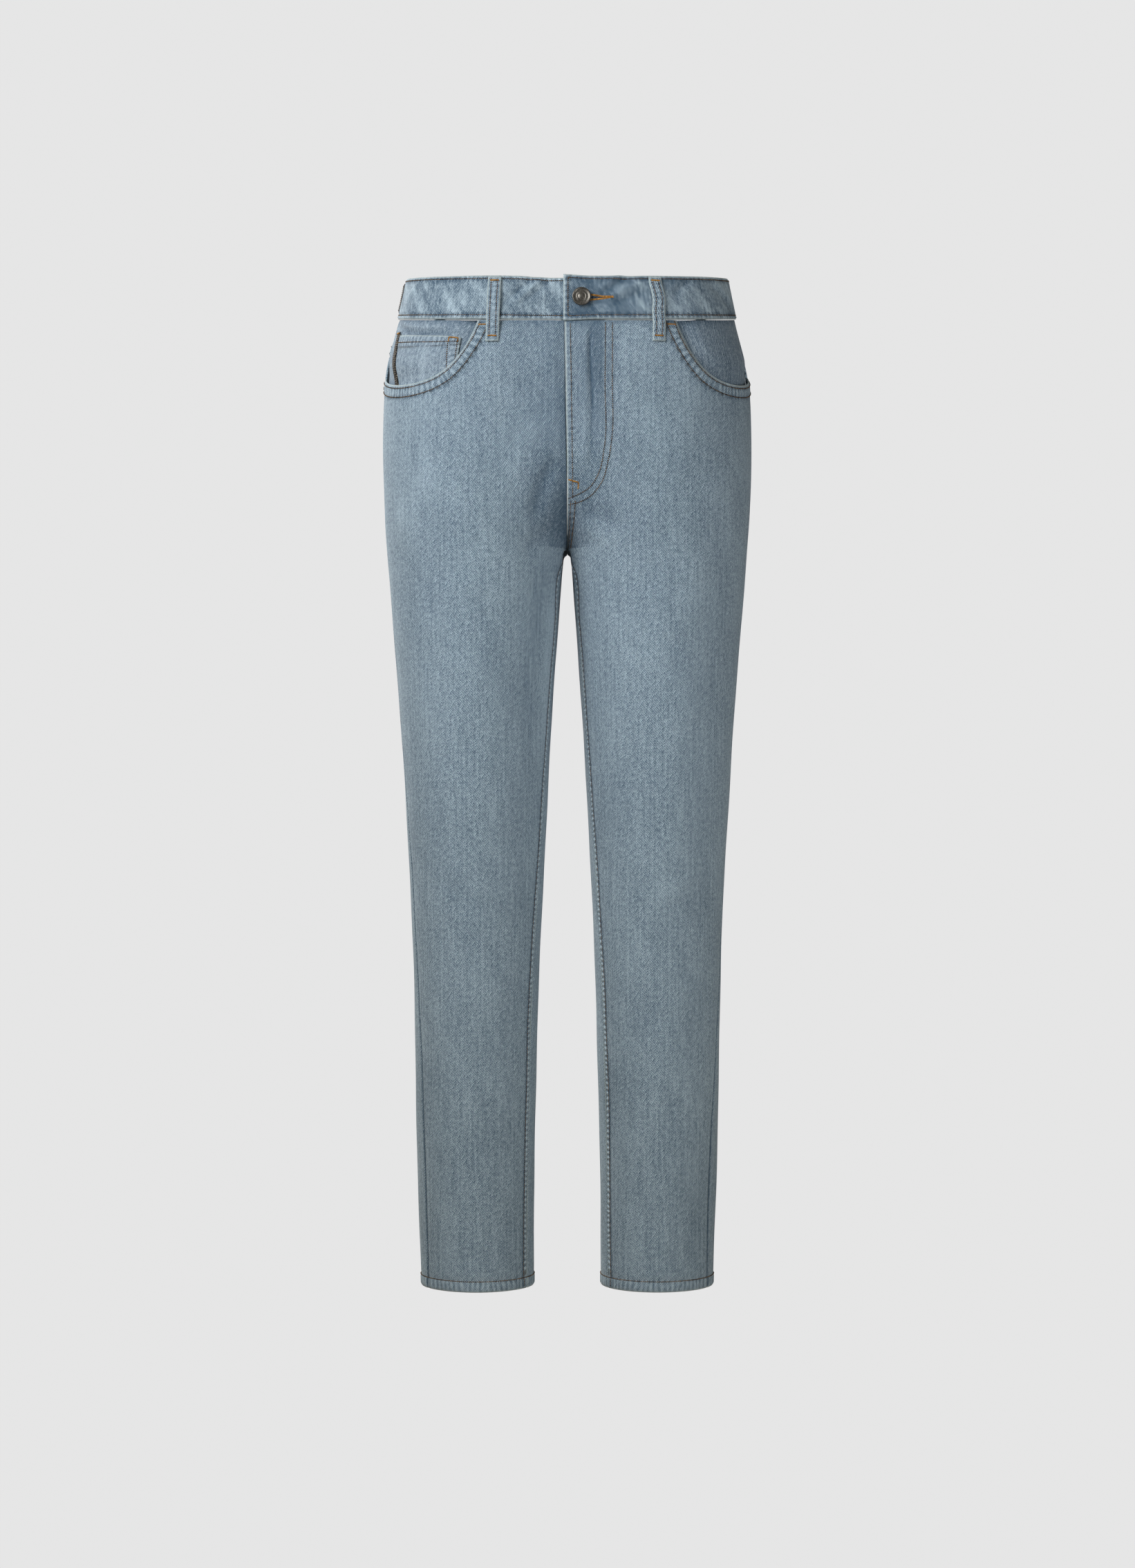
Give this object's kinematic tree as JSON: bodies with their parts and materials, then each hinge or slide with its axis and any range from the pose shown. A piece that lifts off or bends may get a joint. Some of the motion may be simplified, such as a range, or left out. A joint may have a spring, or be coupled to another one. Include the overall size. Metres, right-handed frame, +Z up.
{
  "type": "tapered jeans",
  "caption": "Hollow tapered jeans in light denim with scooped front pockets, open at waist and hems, filled out as worn.",
  "frame": {"origin": "middle of the waist opening, level with the waistband's top edge at the sides", "axes": "+Z up along the leg, +X to the wearer's left, -Y to the front"},
  "size_m": [0.346, 0.2391, 0.9554],
  "materials": {
    "denim": "light washed blue denim, twill",
    "facing_denim": "light washed blue denim, twill",
    "tape": "woven black with tan flecks",
    "leather": "plain dark",
    "metal": "dull dark metal",
    "thread": "tan and brown sewing thread"
  },
  "bodies": {
    "root": {"front_right": "denim", "front_left": "denim", "back_right": "denim", "back_left": "denim", "yoke_right": "denim", "yoke_left": "denim", "pocket_facing_right": "facing_denim", "pocket_facing_left": "facing_denim", "coin_pocket": "facing_denim", "side_tape": "tape", "waistband": "denim", "loop_front_right": "denim", "loop_front_left": "denim", "loop_side_right": "denim", "loop_side_left": "denim", "loop_back": "denim", "back_pocket_right": "denim", "back_pocket_left": "denim", "waist_patch": "leather", "button": "metal"}
  },
  "joints": []
}
